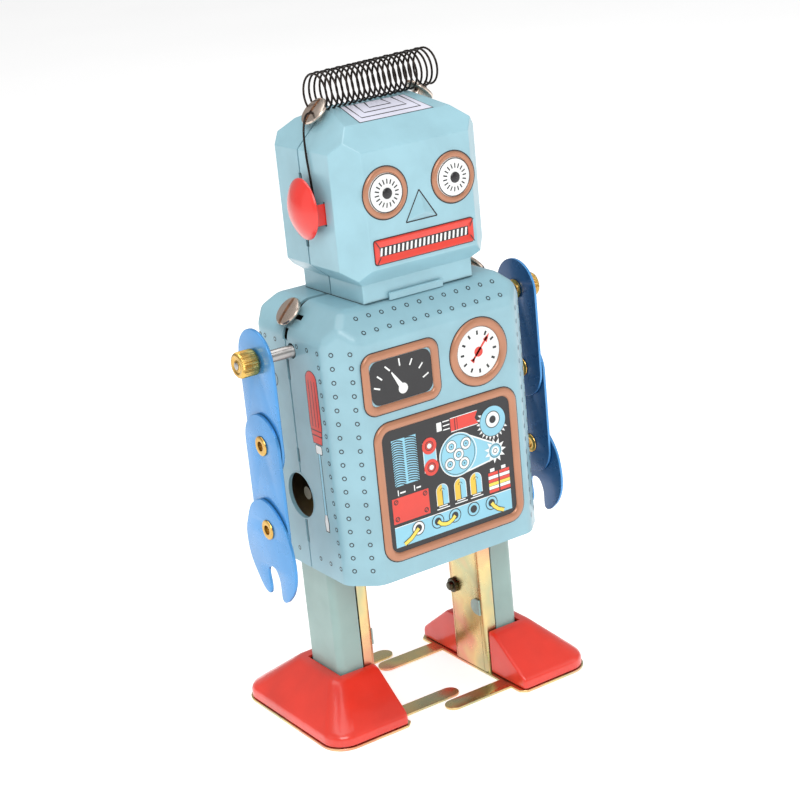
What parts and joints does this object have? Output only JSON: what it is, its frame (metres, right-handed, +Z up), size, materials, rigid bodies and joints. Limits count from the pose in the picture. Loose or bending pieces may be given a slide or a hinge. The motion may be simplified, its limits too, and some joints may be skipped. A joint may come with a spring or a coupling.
{
  "type": "wind-up walking toy robot",
  "caption": "Pressed tinplate wind-up robot with a box head, coiled wire antenna, jointed strip arms and two crank-carried legs on broad feet.",
  "frame": {"origin": "on the floor, under the middle of the body's box; the feet reach 3 mm further back than forward", "axes": "+Z up, the robot faces -Y, +X to its left hand"},
  "size_m": [0.0672, 0.0404, 0.1249],
  "materials": {
    "body_litho": "satin lacquer over printed tinplate",
    "head_litho": "satin lacquer over printed tinplate",
    "red_plate": "gloss paint",
    "ear_red": "gloss paint",
    "foot_red": "gloss paint",
    "arm_blue": "satin paint",
    "leg_grey": "satin paint",
    "zinc_yellow": "yellow passivated zinc plating",
    "bare_tinplate": "bare tin plate",
    "steel": "drawn steel",
    "dark_steel": "darkened steel",
    "spring_steel": "blued spring steel",
    "black_wire": "blackened steel wire",
    "brass": "turned brass"
  },
  "bodies": {
    "torso": {"body_front": "body_litho", "body_back": "body_litho", "bottom_plate": "red_plate", "head_front": "head_litho", "head_back": "body_litho", "antenna_spring": "black_wire", "seam_lugs": "bare_tinplate", "ear_right": "ear_red", "ear_left": "ear_red", "arm_rod": "steel", "arm_hub_right": "brass", "arm_hub_left": "brass", "frame_plate_right": "zinc_yellow", "frame_plate_left": "zinc_yellow", "frame_pillars": "steel", "guide_bush_right": "brass", "guide_bush_left": "brass", "mainspring": "spring_steel"},
    "upper_arm_right": {"upper_arm_right": "arm_blue", "arm_bush_right": "brass", "elbow_eyelet_right": "brass"},
    "forearm_right": {"forearm_right": "arm_blue", "wrist_eyelet_right": "brass"},
    "hand_right": {"hand_right": "arm_blue"},
    "upper_arm_left": {"upper_arm_left": "arm_blue", "arm_bush_left": "brass", "elbow_eyelet_left": "brass"},
    "forearm_left": {"forearm_left": "arm_blue", "wrist_eyelet_left": "brass"},
    "hand_left": {"hand_left": "arm_blue"},
    "crank": {"crank_shaft": "steel", "crank_pinion": "brass", "crank_right": "steel", "crank_left": "steel"},
    "leg_right": {"leg_cover_right": "leg_grey", "leg_bracket_right": "zinc_yellow", "leg_stud_right": "dark_steel", "foot_shell_right": "foot_red", "sole_plate_right": "zinc_yellow"},
    "leg_left": {"leg_cover_left": "leg_grey", "leg_bracket_left": "zinc_yellow", "leg_stud_left": "dark_steel", "foot_shell_left": "foot_red", "sole_plate_left": "zinc_yellow"},
    "great": {"great_wheel": "brass", "ratchet_click": "steel"},
    "arbor": {"winding_arbor": "dark_steel", "ratchet_wheel": "steel"},
    "third": {"third_arbor": "steel", "third_pinion": "brass", "third_wheel": "brass"},
    "escape": {"escape_arbor": "steel", "escape_pinion": "brass", "escape_wheel": "brass"},
    "verge": {"verge": "steel", "verge_staff": "steel"}
  },
  "joints": [
    {"name": "shoulder_right", "type": "hinge", "parent": "torso", "child": "upper_arm_right", "pos_m": [-0.0294, -0.0007, 0.0755], "axis": [1, 0, 0], "continuous": true},
    {"name": "elbow_right", "type": "hinge", "parent": "upper_arm_right", "child": "forearm_right", "pos_m": [-0.03015, -0.0007, 0.0595], "axis": [1, 0, 0], "range_deg": [-100, 100]},
    {"name": "wrist_right", "type": "hinge", "parent": "forearm_right", "child": "hand_right", "pos_m": [-0.0309, -0.0007, 0.0433], "axis": [1, 0, 0], "range_deg": [-120, 120]},
    {"name": "shoulder_left", "type": "hinge", "parent": "torso", "child": "upper_arm_left", "pos_m": [0.0294, -0.0007, 0.0755], "axis": [1, 0, 0], "continuous": true},
    {"name": "elbow_left", "type": "hinge", "parent": "upper_arm_left", "child": "forearm_left", "pos_m": [0.03015, -0.0007, 0.0595], "axis": [1, 0, 0], "range_deg": [-100, 100]},
    {"name": "wrist_left", "type": "hinge", "parent": "forearm_left", "child": "hand_left", "pos_m": [0.0309, -0.0007, 0.0433], "axis": [1, 0, 0], "range_deg": [-120, 120]},
    {"name": "crank_turn", "type": "hinge", "parent": "torso", "child": "crank", "pos_m": [0, 0.002, 0.0371], "axis": [1, 0, 0], "continuous": true},
    {"name": "leg_carry_right", "type": "hinge", "parent": "crank", "child": "leg_right", "pos_m": [-0.0117, 0.0044, 0.0371], "axis": [1, 0, 0], "continuous": true},
    {"name": "leg_carry_left", "type": "hinge", "parent": "crank", "child": "leg_left", "pos_m": [0.0117, -0.0004, 0.0371], "axis": [1, 0, 0], "continuous": true},
    {"name": "winding_turn", "type": "hinge", "parent": "torso", "child": "arbor", "pos_m": [0, 0.002, 0.0467], "axis": [1, 0, 0], "continuous": true},
    {"name": "great_turn", "type": "hinge", "parent": "torso", "child": "great", "pos_m": [0, 0.002, 0.0467], "axis": [1, 0, 0], "continuous": true},
    {"name": "third_turn", "type": "hinge", "parent": "torso", "child": "third", "pos_m": [0, 0.002, 0.0563], "axis": [1, 0, 0], "continuous": true},
    {"name": "escape_turn", "type": "hinge", "parent": "torso", "child": "escape", "pos_m": [0, 0.002, 0.0643], "axis": [1, 0, 0], "continuous": true},
    {"name": "verge_rock", "type": "hinge", "parent": "torso", "child": "verge", "pos_m": [0, 0.002, 0.0708], "axis": [1, 0, 0], "range_deg": [-6, 6]}
  ],
  "couplings": [
    {"joint": "leg_carry_right", "follows": "crank_turn", "ratio": -1},
    {"joint": "leg_carry_left", "follows": "crank_turn", "ratio": -1},
    {"joint": "great_turn", "follows": "crank_turn", "ratio": -0.26316},
    {"joint": "third_turn", "follows": "crank_turn", "ratio": 1},
    {"joint": "escape_turn", "follows": "crank_turn", "ratio": -4}
  ]
}
